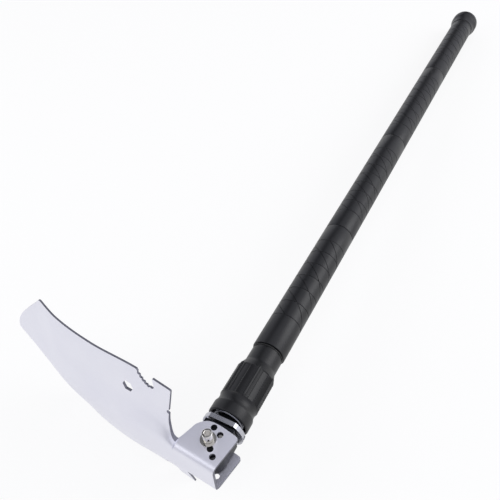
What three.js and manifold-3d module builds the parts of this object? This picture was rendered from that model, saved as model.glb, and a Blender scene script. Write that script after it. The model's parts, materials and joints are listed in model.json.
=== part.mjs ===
// Folding camp shovel: a stamped steel blade on a pivoted U bracket, locked by a screw collar,
// on a handle of four aluminium tubes that screw together.
// Tool frame: pivot centre at the origin, handle along +Y, pivot bolt along Z, millimetres.
// The finished group lies on its side on the ground, z = 0, with the origin under the middle of its box.
import * as THREE from "three";
import { mergeVertices } from "three/addons/utils/BufferGeometryUtils.js";
import Module from "manifold-3d";

const wasm = await Module();
wasm.setup();

// ---- Driving dimensions, mm and degrees ----
const GAP = 0.3; // clearance between neighbouring pieces
const ROUND_SEGMENTS = 32;
const SMALL_SEGMENTS = 16;

// Handle tubes
const TUBE_RADIUS = 16;
const TUBE_BORE = 13.8;
const HANDLE_START = 104.7; // shoulder of the first tube, from the pivot
const FIRST_TUBE = 170;
const MIDDLE_TUBE = 181.5;
const LAST_TUBE = 163.5;
const BAND_LENGTH = 27; // plain band at the start of each tube
const FIRST_BAND_LENGTH = 36;
const LINE_DEPTH = 0.5; // turned line at the end of the plain band
const LINE_WIDTH = 1.2;
const COUPLER_WALL = 3;
const COUPLER_ENGAGED = 20; // length screwed into the tube before
const COUPLER_FIXED = 12; // length held in its own tube
const SEAL_THICKNESS = 1.8;
const SEAL_OFFSET = 2; // seal centre, from the joint plane
const CAP_RADIUS = 19.2;
const CAP_LENGTH = 30;
const CAP_PLUG = 16;

// Hinge head and its shank
const HEAD_HALF_THICKNESS = 14;
const HEAD_RADIUS = 13.5;
const HEAD_TOP = 18; // shoulder of the head block
const SHANK_RADIUS = 9;
const SHANK_END = 62;
const STUB_START = 38; // near end of the first tube
const STUB_RADIUS = 12.6;
const STUB_BORE = 10.4;
const STUB_BORE_START = 70;
const ROLL_PIN_RADIUS = 1.6;
const ROLL_PIN_PLACES = [46, 56];

// Pivot
const BOLT_RADIUS = 3;
const BOLT_HEAD_RADIUS = 4.3;
const BOLT_HEAD_HEIGHT = 9;
const BOLT_FLANGE_RADIUS = 6.7;
const BOLT_FLANGE_HEIGHT = 1.5;
const SOCKET_FLATS = 5;
const SOCKET_DEPTH = 4.5;
const NUT_FLATS = 10;
const NUT_HEIGHT = 6;
const SLEEVE_WALL = 1.9;
const FRICTION_WASHER_RADIUS = 7.5;

// Blade and its bracket. s runs from the pivot to the tip, h towards the handle, z along the pivot.
const BLADE_ANGLE = 80.6; // between the handle and the bracket's floor
const PLATE = 2.3;
const EDGE_PLATE = 1.5; // the wings thin towards their ground edges
const BRACKET_HALF_WIDTH = 18;
const BRACKET_DEPTH = 20; // outer face of the floor, below the pivot
const FLOOR_TILT = 4.5; // the floor falls away towards the blade
const BRACKET_BEND = 5.6;
const BRACKET_END = 19; // end of the ears behind the pivot
const BRACKET_FRONT = 20.6; // where the ears stop and the blade begins
const EAR_TOP = 15;
const EAR_CORNER = 3;
const BLADE_LENGTH = 236; // pivot to tip
const BLADE_HALF_WIDTH = 77;
const WING_START = 23;
const HEX_HOLE_FLATS = 9.5;
const HEX_HOLE_S = 67.4;
const HEX_HOLE_Z = 51.9;
const INDEX_HOLE_RADIUS = 2.7;
const INDEX_HOLES = [[3.2, 10.9], [-4.9, 8.7], [-5.9, -5], [-11.5, -9]]; // s, h
const DETENT_HOLE = 1; // the index hole that the detent pin stands in

// Detent pin
const DETENT_RADIUS = 2.2;
const DETENT_LENGTH = 11;
const DETENT_BORE_DEPTH = 22;
const DETENT_WIRE = 0.5;

// Lock: thrust disc, brake shoe, spring, washer and collar
const DISC_RADIUS = 19.2;
const DISC_THICKNESS = 4;
const DISC_CLEARANCE = 0.6; // to the end of the bracket with the blade straight
const SPANNER_HOLE_RADIUS = 1.9;
const SPANNER_HOLE_CIRCLE = 14.6;
const SPANNER_HOLE_DEPTH = 2.2;
const SPANNER_HOLE_ANGLE = 38;
const SHOE_RADIUS = 4.2;
const THRUST_PIN_RADIUS = 1.6;
const SHOE_CLEARANCE = 0.6; // to the pivot sleeve with the lock backed off
const COLLAR_TRAVEL = 4; // how far the collar screws towards the disc
const LOCK_SPRING_WIRE = 1.7;
const LOCK_SPRING_TURNS = 2;
const LOCK_SPRING_RADIUS = 13.2;
const THRUST_WASHER_THICKNESS = 2;
const COLLAR_MOUTH = 28; // near rim of the collar
const COLLAR_MOUTH_BORE = 16.6;
const COLLAR_SHOULDER = 37.3;
const COLLAR_SKIRT_RADIUS = 18.7;
const COLLAR_NECK_RADIUS = 17.3;
const COLLAR_NECK = 43;
const GRIP_START = 48;
const GRIP_END = 77.5;
const GRIP_RADIUS = 18.3;
const RIB_RADIUS = 19;
const RIB_WIDTH = 4.7;
const RIB_COUNT = 6;
const RIB_TURN = 17; // first rib, degrees round from the pivot axis
const COLLAR_CHAMFER_END = 87.5;
const COLLAR_SLEEVE_RADIUS = 14.9;
const COLLAR_END = 103;
const STOP_RING_RADIUS = 14.3;

const JOINT_2 = HANDLE_START + FIRST_TUBE;
const JOINT_3 = JOINT_2 + MIDDLE_TUBE;
const JOINT_4 = JOINT_3 + MIDDLE_TUBE;
const HANDLE_END = JOINT_4 + LAST_TUBE;
const EAR_INNER = BRACKET_HALF_WIDTH - PLATE;
const DISC_NEAR = BRACKET_END + DISC_CLEARANCE;
const DISC_FAR = DISC_NEAR + DISC_THICKNESS;
const TURN = Math.PI * 2;

// ---- Materials ----
const paint = (color, roughness, metalness) => new THREE.MeshStandardMaterial({ color, roughness, metalness });
const steelPlate = () => paint(0xd7d8e4, 0.38, 0.9);
const polishedSteel = () => paint(0xc9c8c6, 0.2, 1);
const hingeSteel = () => paint(0xbfc0c6, 0.32, 1);
const blackAnodised = () => paint(0x1c1d20, 0.45, 0.6);
const blackRubber = () => paint(0x131313, 0.8, 0);
const springSteel = () => paint(0x8d8f94, 0.3, 1);
const nylon = () => paint(0x222222, 0.6, 0);
const bronze = () => paint(0x9a7442, 0.35, 1);

// ---- Solids ----
function solid(geometry) {
  const bare = geometry.clone();
  bare.deleteAttribute("normal");
  bare.deleteAttribute("uv");
  const merged = mergeVertices(bare, 1e-4);
  const corners = [];
  for (let i = 0; i < merged.index.count; i += 3) {
    const [a, b, c] = [0, 1, 2].map((k) => merged.index.getX(i + k));
    if (a !== b && b !== c && c !== a) corners.push(a, b, c);
  }
  const vertProperties = new Float32Array(merged.attributes.position.array);
  return new wasm.Manifold(new wasm.Mesh({ numProp: 3, vertProperties, triVerts: new Uint32Array(corners) }));
}

function geometryOf(shape) {
  const made = shape.getMesh();
  const geometry = new THREE.BufferGeometry();
  geometry.setAttribute("position", new THREE.BufferAttribute(new Float32Array(made.vertProperties), 3));
  geometry.setIndex(new THREE.BufferAttribute(new Uint32Array(made.triVerts), 1));
  return geometry;
}

const cut = (body, tools) => tools.reduce((left, tool) => left.subtract(tool), body);
const join = (bodies) => bodies.reduce((whole, body) => whole.add(body));
const movedBy = (geometry, x, y, z) => geometry.translate(x, y, z);

// A solid of revolution about the Y axis from [radius, y] corners, wound so that its faces point out.
function revolved(corners, segments = ROUND_SEGMENTS) {
  let area = 0;
  corners.forEach(([r, y], i) => {
    const [nextR, nextY] = corners[(i + 1) % corners.length];
    area += r * nextY - nextR * y;
  });
  const wound = area > 0 ? corners : [...corners].reverse();
  const closed = [...wound, wound[0]].map(([r, y]) => new THREE.Vector2(r, y));
  return new THREE.LatheGeometry(closed, segments);
}

const ring = (inner, outer, low, high, segments) =>
  revolved([[inner, low], [outer, low], [outer, high], [inner, high]], segments);

// A ring or a plain rod along Z or X.
const ringZ = (inner, outer, low, high, segments) =>
  ring(inner, outer, low, high, segments).rotateX(Math.PI / 2);
const rodAlongY = (radius, low, high, segments = SMALL_SEGMENTS) =>
  movedBy(new THREE.CylinderGeometry(radius, radius, high - low, segments), 0, (low + high) / 2, 0);
const rodAlongZ = (radius, low, high, segments) => rodAlongY(radius, low, high, segments).rotateX(Math.PI / 2);
const rodAlongX = (radius, low, high, segments) => rodAlongY(radius, low, high, segments).rotateZ(-Math.PI / 2);
const hexAlongZ = (flats, low, high) => rodAlongZ(flats / Math.sqrt(3), low, high, 6);
const boxBetween = (low, high) => {
  const size = low.map((v, i) => high[i] - v);
  const middle = low.map((v, i) => (high[i] + v) / 2);
  return new THREE.BoxGeometry(...size).translate(...middle);
};

const tool = new THREE.Group(); // the tool frame
function add(name, geometry, material) {
  const mesh = new THREE.Mesh(geometry, material);
  mesh.name = name;
  tool.add(mesh);
  return mesh;
}

// ---- Blade ----
// Half cross-sections of the blade, from the bracket to the tip. floorZ and floorH place the channel's
// lower corner, creaseZ and creaseH the crease where the wing begins, edgeH the wing at full width, and
// bend the length that rounds the lower corner.
const BLADE_SECTIONS = [
  { s: 20, floorZ: 18, floorH: -21.6, creaseZ: 19.2, creaseH: -14, edgeH: -6.4, bend: 5.6 },
  { s: 32, floorZ: 16.5, floorH: -22.7, creaseZ: 33, creaseH: -13.8, edgeH: -6.6, bend: 6 },
  { s: 60, floorZ: 15, floorH: -25.2, creaseZ: 40, creaseH: -15.2, edgeH: -7.4, bend: 9 },
  { s: 105, floorZ: 12, floorH: -26.6, creaseZ: 37, creaseH: -18.4, edgeH: -11.6, bend: 9 },
  { s: 148, floorZ: 8, floorH: -24.8, creaseZ: 27, creaseH: -20.4, edgeH: -10.8, bend: 7 },
  { s: 188, floorZ: 4, floorH: -17.8, creaseZ: 13, creaseH: -16, edgeH: -3.6, bend: 3.5 },
  { s: 218, floorZ: 2, floorH: -12.2, creaseZ: 8, creaseH: -11.4, edgeH: -1.4, bend: 1.8 },
  { s: 240, floorZ: 1.5, floorH: -8.6, creaseZ: 6, creaseH: -8, edgeH: 1.6, bend: 1.2 },
];
const CREASE_BEND = 5;
const BEND_STEPS = 4;
const BLADE_STATIONS = 22;
const SHEET_MARGIN = 5; // how far the untrimmed sheet runs past the wing's edge

function sectionAt(s) {
  const keys = ["floorZ", "floorH", "creaseZ", "creaseH", "edgeH", "bend"];
  const places = BLADE_SECTIONS.map((row) => row.s);
  const values = BLADE_SECTIONS.flatMap((row) => keys.map((key) => row[key]));
  const curve = new THREE.CubicInterpolant(places, values, keys.length);
  const found = curve.evaluate(s);
  return Object.fromEntries(keys.map((key, i) => [key, found[i]]));
}

// The outer face of one half section as [z, h] points from the middle out.
function halfSection(s) {
  const { floorZ, floorH, creaseZ, creaseH, edgeH, bend } = sectionAt(s);
  const reach = BLADE_HALF_WIDTH + SHEET_MARGIN;
  const slope = (edgeH - creaseH) / (BLADE_HALF_WIDTH - creaseZ);
  const middle = new THREE.Vector2(0, floorH);
  const corner = new THREE.Vector2(floorZ, floorH);
  const crease = new THREE.Vector2(creaseZ, creaseH);
  const edge = new THREE.Vector2(reach, creaseH + slope * (reach - creaseZ));
  const rounded = (before, at, after, length) => {
    const back = at.clone().add(before.clone().sub(at).setLength(length));
    const onward = at.clone().add(after.clone().sub(at).setLength(length));
    return new THREE.QuadraticBezierCurve(back, at, onward).getPoints(BEND_STEPS);
  };
  const flank = corner.distanceTo(crease);
  const creaseBend = Math.min(CREASE_BEND, flank * 0.45);
  const floorBend = Math.min(bend, flank * 0.5);
  return [
    middle,
    ...rounded(middle, corner, crease, floorBend),
    ...rounded(corner, crease, edge, creaseBend),
    edge,
  ];
}

// The whole section mirrored about z = 0, with the inner face one thickness towards the handle.
function sheetSection(s) {
  const half = halfSection(s);
  const outer = [...half.slice(1).reverse().map((p) => new THREE.Vector2(-p.x, p.y)), ...half];
  const inner = outer.map((point, i) => {
    const before = outer[Math.max(i - 1, 0)];
    const after = outer[Math.min(i + 1, outer.length - 1)];
    const along = after.clone().sub(before).normalize();
    const outwards = THREE.MathUtils.smoothstep(Math.abs(point.x), BLADE_HALF_WIDTH / 2, BLADE_HALF_WIDTH);
    const thickness = THREE.MathUtils.lerp(PLATE, EDGE_PLATE, outwards);
    return new THREE.Vector2(point.x - along.y * thickness, point.y + along.x * thickness);
  });
  return { outer, inner };
}

// The untrimmed sheet as a closed loft in blade axes: x = s, y = h, z = z.
function bladeSheet() {
  const positions = [];
  const index = [];
  const first = BLADE_SECTIONS[0].s;
  const last = BLADE_SECTIONS[BLADE_SECTIONS.length - 1].s;
  let loop = 0;
  for (let k = 0; k <= BLADE_STATIONS; k += 1) {
    const s = THREE.MathUtils.lerp(first, last, k / BLADE_STATIONS);
    const { outer, inner } = sheetSection(s);
    const rim = [...outer, ...inner.reverse()];
    loop = rim.length;
    rim.forEach((p) => positions.push(s, p.y, p.x));
  }
  for (let k = 0; k < BLADE_STATIONS; k += 1) {
    for (let i = 0; i < loop; i += 1) {
      const a = k * loop + i;
      const b = k * loop + ((i + 1) % loop);
      index.push(a, a + loop, b, b, a + loop, b + loop);
    }
  }
  const half = loop / 2;
  const end = BLADE_STATIONS * loop;
  for (let i = 0; i < half - 1; i += 1) {
    const across = loop - 1 - i;
    index.push(i, i + 1, across, i + 1, across - 1, across);
    index.push(end + i, end + across, end + i + 1, end + i + 1, end + across, end + across - 1);
  }
  const geometry = new THREE.BufferGeometry();
  geometry.setAttribute("position", new THREE.Float32BufferAttribute(positions, 3));
  geometry.setIndex(index);
  return geometry;
}

// Outline of the blade seen from above: s along x, z along y.
const NOTCH_START = 57.5;
const NOTCH_FLOOR = 65.6;
const HOOK_TIP = 41.6;
const TIP_SHOULDER_S = 175;
const TIP_CORNER = 3; // how far the wing's front corner is rounded off
const BUMP_S = 26.5;
const BUMP_Z = 49;
const BUMP_RADIUS = 2;
const SCALLOPS = 5;
const SCALLOP_RADIUS = 1.3;

function wingOutline() {
  const edge = BLADE_HALF_WIDTH;
  const side = new THREE.Path();
  side.moveTo(BRACKET_FRONT - 1, BRACKET_HALF_WIDTH + 0.6);
  side.quadraticCurveTo(BUMP_S + 3, BRACKET_HALF_WIDTH + 6, BUMP_S, BUMP_Z - BUMP_RADIUS);
  side.absarc(BUMP_S, BUMP_Z, BUMP_RADIUS, -Math.PI / 2, Math.PI / 2, false);
  side.lineTo(WING_START, edge);
  side.lineTo(HOOK_TIP, edge);
  side.lineTo(HOOK_TIP - 1.6, NOTCH_FLOOR + 3);
  side.quadraticCurveTo(HOOK_TIP - 1.4, NOTCH_FLOOR, HOOK_TIP + 1.5, NOTCH_FLOOR);
  side.quadraticCurveTo(NOTCH_START - 6, NOTCH_FLOOR + 1, NOTCH_START, edge);
  side.lineTo(TIP_SHOULDER_S - TIP_CORNER, edge);
  side.quadraticCurveTo(TIP_SHOULDER_S, edge, TIP_SHOULDER_S + TIP_CORNER, edge - TIP_CORNER);
  side.bezierCurveTo(TIP_SHOULDER_S + 21, 54, BLADE_LENGTH - 3, 22, BLADE_LENGTH, 0);
  return side.getPoints(7);
}

function bladeOutline() {
  const upper = wingOutline();
  const lower = upper.slice(0, -1).reverse().map((p) => new THREE.Vector2(p.x, -p.y));
  return new THREE.Shape([...upper, ...lower]);
}

function earOutline() {
  const ear = new THREE.Shape();
  const top = EAR_TOP - EAR_CORNER;
  const back = -BRACKET_END;
  const below = -BRACKET_DEPTH - 5;
  ear.moveTo(back, below);
  ear.lineTo(back, top);
  ear.absarc(back + EAR_CORNER, top, EAR_CORNER, Math.PI, Math.PI / 2, true);
  ear.lineTo(-5, EAR_TOP + 0.2);
  ear.lineTo(9.4, 13.3);
  ear.lineTo(14.3, 9.1);
  ear.lineTo(17.6, 4.2);
  ear.lineTo(BRACKET_FRONT - 0.8, -9.5);
  ear.lineTo(BRACKET_FRONT, -12.2);
  ear.lineTo(BRACKET_FRONT, below);
  return ear;
}

// The bracket: a bent U of plate, trimmed to the outline of its ears.
function bracket() {
  const w = BRACKET_HALF_WIDTH;
  const floor = -BRACKET_DEPTH;
  const inner = BRACKET_BEND - PLATE;
  const top = EAR_TOP + 10;
  const section = new THREE.Shape();
  section.moveTo(w, top);
  section.lineTo(w, floor + BRACKET_BEND);
  section.absarc(w - BRACKET_BEND, floor + BRACKET_BEND, BRACKET_BEND, 0, -Math.PI / 2, true);
  section.lineTo(-w + BRACKET_BEND, floor);
  section.absarc(-w + BRACKET_BEND, floor + BRACKET_BEND, BRACKET_BEND, -Math.PI / 2, -Math.PI, true);
  section.lineTo(-w, top);
  section.lineTo(-w + PLATE, top);
  section.lineTo(-w + PLATE, floor + BRACKET_BEND);
  section.absarc(-w + BRACKET_BEND, floor + BRACKET_BEND, inner, Math.PI, Math.PI * 1.5, false);
  section.lineTo(w - BRACKET_BEND, floor + PLATE);
  section.absarc(w - BRACKET_BEND, floor + BRACKET_BEND, inner, -Math.PI / 2, 0, false);
  section.lineTo(w - PLATE, top);
  const reach = 2 * (BRACKET_END + BRACKET_FRONT);
  const channel = new THREE.ExtrudeGeometry(section, { depth: reach, bevelEnabled: false, curveSegments: 5 });
  channel.translate(0, 0, -reach / 2);
  channel.rotateY(-Math.PI / 2);
  channel.rotateZ(-THREE.MathUtils.degToRad(FLOOR_TILT));
  const ears = new THREE.ExtrudeGeometry(earOutline(), {
    depth: 2 * w + 2,
    bevelEnabled: false,
    curveSegments: 6,
  });
  ears.translate(0, 0, -w - 1);
  return solid(channel).intersect(solid(ears));
}

const throughEars = (radius, s, h) =>
  solid(movedBy(rodAlongZ(radius, -BRACKET_HALF_WIDTH - 5, BRACKET_HALF_WIDTH + 5), s, h, 0));

// A cutter that stands across the plate of both wings.
const throughPlate = (geometry, s, z) => solid(geometry.clone().translate(s, 0, z));

function makeBlade() {
  const outline = new THREE.ExtrudeGeometry(bladeOutline(), { depth: 120, bevelEnabled: false, curveSegments: 1 });
  outline.translate(0, 0, -60);
  outline.rotateX(Math.PI / 2);
  let plate = join([solid(bladeSheet()).intersect(solid(outline)), bracket()]);
  const hexCutter = rodAlongY(HEX_HOLE_FLATS / Math.sqrt(3), -60, 60, 6);
  const toothCutter = rodAlongY(SCALLOP_RADIUS, -60, 60, 8);
  const cutters = INDEX_HOLES.map(([s, h]) => throughEars(INDEX_HOLE_RADIUS, s, h));
  cutters.push(throughEars(BOLT_RADIUS + GAP, 0, 0));
  const notch = new THREE.QuadraticBezierCurve(
    new THREE.Vector2(HOOK_TIP + 1.5, NOTCH_FLOOR),
    new THREE.Vector2(NOTCH_START - 6, NOTCH_FLOOR + 1),
    new THREE.Vector2(NOTCH_START, BLADE_HALF_WIDTH),
  );
  for (const side of [1, -1]) {
    cutters.push(throughPlate(hexCutter, HEX_HOLE_S, side * HEX_HOLE_Z));
    for (let k = 1; k <= SCALLOPS; k += 1) {
      const at = notch.getPointAt(k / (SCALLOPS + 1));
      cutters.push(throughPlate(toothCutter, at.x, side * at.y));
    }
  }
  plate = cut(plate, cutters);
  return placeOnBladeAxes(geometryOf(plate));
}

// From blade axes (s, h, z) to the tool frame.
function placeOnBladeAxes(geometry) {
  const angle = THREE.MathUtils.degToRad(BLADE_ANGLE);
  const along = new THREE.Vector3(-Math.sin(angle), Math.cos(angle), 0);
  const up = new THREE.Vector3(Math.cos(angle), Math.sin(angle), 0);
  const basis = new THREE.Matrix4().makeBasis(along, up, new THREE.Vector3(0, 0, 1));
  const placed = geometry.applyMatrix4(basis);
  const index = placed.index.array;
  for (let i = 0; i < index.length; i += 3) [index[i + 1], index[i + 2]] = [index[i + 2], index[i + 1]];
  return placed;
}

function holePlace([s, h]) {
  const angle = THREE.MathUtils.degToRad(BLADE_ANGLE);
  return [-Math.sin(angle) * s + Math.cos(angle) * h, Math.cos(angle) * s + Math.sin(angle) * h];
}

// ---- Pivot hardware, along Z ----
function makeBolt() {
  const seat = BRACKET_HALF_WIDTH + GAP + BOLT_FLANGE_HEIGHT + GAP;
  const nutEnd = -BRACKET_HALF_WIDTH - 2 * GAP - BOLT_FLANGE_HEIGHT - NUT_HEIGHT - 1;
  const shank = solid(rodAlongZ(BOLT_RADIUS, nutEnd, seat + 1));
  const head = solid(rodAlongZ(BOLT_HEAD_RADIUS, seat, seat + BOLT_HEAD_HEIGHT));
  const socket = solid(hexAlongZ(SOCKET_FLATS, seat + BOLT_HEAD_HEIGHT - SOCKET_DEPTH, seat + BOLT_HEAD_HEIGHT + 1));
  return geometryOf(cut(join([shank, head]), [socket]));
}

function pivotWasher(side) {
  const low = BRACKET_HALF_WIDTH + GAP;
  const made = ringZ(BOLT_RADIUS + GAP, BOLT_FLANGE_RADIUS, low, low + BOLT_FLANGE_HEIGHT, SMALL_SEGMENTS);
  return side > 0 ? made.rotateX(Math.PI) : made;
}

function makeNut() {
  const high = -BRACKET_HALF_WIDTH - 2 * GAP - BOLT_FLANGE_HEIGHT;
  const body = solid(hexAlongZ(NUT_FLATS, high - NUT_HEIGHT, high));
  return geometryOf(cut(body, [solid(rodAlongZ(BOLT_RADIUS + GAP, high - NUT_HEIGHT - 1, high + 1))]));
}

const SLEEVE_RADIUS = BOLT_RADIUS + GAP + SLEEVE_WALL;
const SLEEVE_HALF = EAR_INNER - GAP;

// ---- Hinge head ----
function makeHead() {
  const outline = new THREE.Shape();
  outline.moveTo(-HEAD_RADIUS, HEAD_TOP);
  outline.lineTo(-HEAD_RADIUS, 0);
  outline.absarc(0, 0, HEAD_RADIUS, Math.PI, 2 * Math.PI, false);
  outline.lineTo(HEAD_RADIUS, HEAD_TOP);
  const depth = 2 * HEAD_HALF_THICKNESS;
  const block = new THREE.ExtrudeGeometry(outline, { depth, bevelEnabled: false, curveSegments: 16 });
  block.translate(0, 0, -HEAD_HALF_THICKNESS);
  const shank = rodAlongY(SHANK_RADIUS, HEAD_TOP - 1, SHANK_END, ROUND_SEGMENTS);
  const body = join([solid(block), solid(shank)]);
  const [detentX, detentY] = holePlace(INDEX_HOLES[DETENT_HOLE]);
  const pinHalfWidth = THRUST_PIN_RADIUS + GAP;
  const slotLow = DISC_NEAR + DISC_THICKNESS / 2 - pinHalfWidth - GAP;
  const slotHigh = DISC_NEAR + DISC_THICKNESS / 2 + pinHalfWidth;
  const deep = HEAD_HALF_THICKNESS - DETENT_BORE_DEPTH;
  const detentBore = rodAlongZ(DETENT_RADIUS + GAP, deep, HEAD_HALF_THICKNESS + 1);
  return geometryOf(
    cut(body, [
      solid(rodAlongZ(SLEEVE_RADIUS + GAP, -HEAD_HALF_THICKNESS - 1, HEAD_HALF_THICKNESS + 1)),
      solid(rodAlongY(SHOE_RADIUS + GAP, 0, SHOE_END + GAP + 1)),
      solid(boxBetween([-20, slotLow, -pinHalfWidth], [20, slotHigh, pinHalfWidth])),
      solid(movedBy(detentBore, detentX, detentY, 0)),
      ...ROLL_PIN_PLACES.map((y) => solid(movedBy(rodAlongX(ROLL_PIN_RADIUS + GAP, -20, 20), 0, y, 0))),
    ]),
  );
}

// ---- Lock ----
const SHOE_END = 34;

function makeShoe() {
  const rod = solid(rodAlongY(SHOE_RADIUS, SLEEVE_RADIUS + SHOE_CLEARANCE, SHOE_END));
  const hole = solid(movedBy(rodAlongX(THRUST_PIN_RADIUS + GAP, -10, 10), 0, DISC_NEAR + DISC_THICKNESS / 2, 0));
  return geometryOf(cut(rod, [hole]));
}

function makeDisc() {
  const round = solid(ring(SHANK_RADIUS + GAP, DISC_RADIUS, DISC_NEAR, DISC_FAR));
  const flat = EAR_INNER - GAP;
  const keeper = solid(boxBetween([-30, 0, -flat], [30, 60, flat]));
  const middle = DISC_NEAR + DISC_THICKNESS / 2;
  const tools = [solid(movedBy(rodAlongX(THRUST_PIN_RADIUS + GAP, -30, 30), 0, middle, 0))];
  for (const quadrant of [SPANNER_HOLE_ANGLE, 180 - SPANNER_HOLE_ANGLE, 180 + SPANNER_HOLE_ANGLE, -SPANNER_HOLE_ANGLE]) {
    const angle = THREE.MathUtils.degToRad(quadrant);
    const blind = rodAlongY(SPANNER_HOLE_RADIUS, DISC_NEAR - 1, DISC_NEAR + SPANNER_HOLE_DEPTH, 12);
    tools.push(solid(blind.translate(Math.cos(angle) * SPANNER_HOLE_CIRCLE, 0, Math.sin(angle) * SPANNER_HOLE_CIRCLE)));
  }
  return geometryOf(cut(round.intersect(keeper), tools));
}

class Helix extends THREE.Curve {
  constructor(radius, low, high, turns) {
    super();
    Object.assign(this, { radius, low, high, turns });
  }

  getPoint(t, target = new THREE.Vector3()) {
    const angle = t * this.turns * TURN;
    const y = THREE.MathUtils.lerp(this.low, this.high, t);
    return target.set(this.radius * Math.cos(angle), y, this.radius * Math.sin(angle));
  }
}

function coil(radius, wire, low, high, turns, stepsPerTurn) {
  const section = new THREE.Shape();
  section.absarc(0, 0, wire / 2, 0, TURN, false);
  return new THREE.ExtrudeGeometry(section, {
    steps: Math.round(turns * stepsPerTurn),
    curveSegments: 3,
    bevelEnabled: false,
    extrudePath: new Helix(radius, low + wire / 2, high - wire / 2, turns),
  });
}

const THRUST_WASHER_FAR = COLLAR_SHOULDER - GAP;
const THRUST_WASHER_NEAR = THRUST_WASHER_FAR - THRUST_WASHER_THICKNESS;

function makeCollar() {
  const bore = STUB_RADIUS + GAP;
  const rounding = 1;
  const body = solid(
    revolved([
      [COLLAR_MOUTH_BORE, COLLAR_MOUTH + 0.4],
      [COLLAR_MOUTH_BORE + 0.4, COLLAR_MOUTH],
      [COLLAR_SKIRT_RADIUS - rounding, COLLAR_MOUTH],
      [COLLAR_SKIRT_RADIUS, COLLAR_MOUTH + rounding],
      [COLLAR_SKIRT_RADIUS, COLLAR_NECK - 5],
      [COLLAR_NECK_RADIUS + 0.4, COLLAR_NECK - 2],
      [COLLAR_NECK_RADIUS, COLLAR_NECK],
      [COLLAR_NECK_RADIUS, GRIP_START - 2.5],
      [GRIP_RADIUS, GRIP_START],
      [GRIP_RADIUS, GRIP_END],
      [COLLAR_SLEEVE_RADIUS + 0.5, COLLAR_CHAMFER_END - 2],
      [COLLAR_SLEEVE_RADIUS, COLLAR_CHAMFER_END],
      [COLLAR_SLEEVE_RADIUS, COLLAR_END - 0.5],
      [COLLAR_SLEEVE_RADIUS - 0.5, COLLAR_END],
      [bore, COLLAR_END],
      [bore, COLLAR_SHOULDER],
      [COLLAR_MOUTH_BORE, COLLAR_SHOULDER],
    ]),
  );
  const blank = solid(
    revolved([
      [GRIP_RADIUS - 1.5, GRIP_START - 0.8],
      [RIB_RADIUS - 0.8, GRIP_START - 0.8],
      [RIB_RADIUS, GRIP_START + 0.4],
      [RIB_RADIUS, GRIP_END],
      [GRIP_RADIUS - 1.5, GRIP_END + 3.5],
    ]),
  );
  const ribs = [];
  for (let k = 0; k < RIB_COUNT; k += 1) {
    const bar = boxBetween([0, GRIP_START - 2, -RIB_WIDTH / 2], [RIB_RADIUS + 2, GRIP_END + 5, RIB_WIDTH / 2]);
    bar.rotateY((k * TURN) / RIB_COUNT - THREE.MathUtils.degToRad(90 - RIB_TURN));
    ribs.push(solid(bar).intersect(blank));
  }
  return geometryOf(join([body, ...ribs]));
}

// ---- Handle tubes ----
function lineAt(y, radius) {
  const half = LINE_WIDTH / 2;
  return [[radius, y - half], [radius - LINE_DEPTH, y - half / 2], [radius - LINE_DEPTH, y + half / 2], [radius, y + half]];
}

function makeFirstTube() {
  return revolved([
    [SHANK_RADIUS + GAP, STUB_START],
    [STUB_RADIUS, STUB_START],
    [STUB_RADIUS, HANDLE_START],
    [TUBE_RADIUS - 0.5, HANDLE_START],
    [TUBE_RADIUS, HANDLE_START + 0.8],
    ...lineAt(HANDLE_START + FIRST_BAND_LENGTH, TUBE_RADIUS),
    [TUBE_RADIUS, JOINT_2 - 0.6],
    [TUBE_RADIUS - 0.5, JOINT_2],
    [TUBE_BORE, JOINT_2],
    [TUBE_BORE, HANDLE_START + 6],
    [STUB_BORE, HANDLE_START + 1],
    [STUB_BORE, STUB_BORE_START],
    [SHANK_RADIUS + GAP, STUB_BORE_START],
  ]);
}

function drilledFirstTube() {
  const tools = ROLL_PIN_PLACES.map((y) => solid(movedBy(rodAlongX(ROLL_PIN_RADIUS + GAP, -20, 20), 0, y, 0)));
  return geometryOf(cut(solid(makeFirstTube()), tools));
}

function screwedTube(start, end) {
  return revolved([
    [TUBE_BORE, start + GAP],
    [TUBE_RADIUS - 0.5, start + GAP],
    [TUBE_RADIUS, start + GAP + 0.6],
    ...lineAt(start + BAND_LENGTH, TUBE_RADIUS),
    [TUBE_RADIUS, end - 0.6],
    [TUBE_RADIUS - 0.5, end],
    [TUBE_BORE, end],
  ]);
}

const PLUG_RADIUS = TUBE_BORE - GAP;
const SEAL_INNER = PLUG_RADIUS - SEAL_THICKNESS + 0.5;

// The outer corners of a plug from its near end to the joint plane, with the seal's groove.
function plugCorners(near, joint) {
  const groove = SEAL_INNER - GAP;
  const half = SEAL_THICKNESS / 2 + GAP;
  const centre = joint - SEAL_OFFSET;
  return [
    [PLUG_RADIUS - 0.8, near],
    [PLUG_RADIUS, near + 1],
    [PLUG_RADIUS, centre - half],
    [groove, centre - half],
    [groove, centre + half],
    [PLUG_RADIUS, centre + half],
  ];
}

function makeCoupler(joint) {
  const inner = PLUG_RADIUS - COUPLER_WALL;
  return revolved([
    [inner, joint - COUPLER_ENGAGED],
    ...plugCorners(joint - COUPLER_ENGAGED, joint),
    [PLUG_RADIUS, joint + COUPLER_FIXED],
    [inner, joint + COUPLER_FIXED],
  ]);
}

function makeSeal(joint) {
  const centre = joint - SEAL_OFFSET;
  const half = SEAL_THICKNESS / 2;
  return ring(SEAL_INNER, PLUG_RADIUS, centre - half, centre + half);
}

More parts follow.
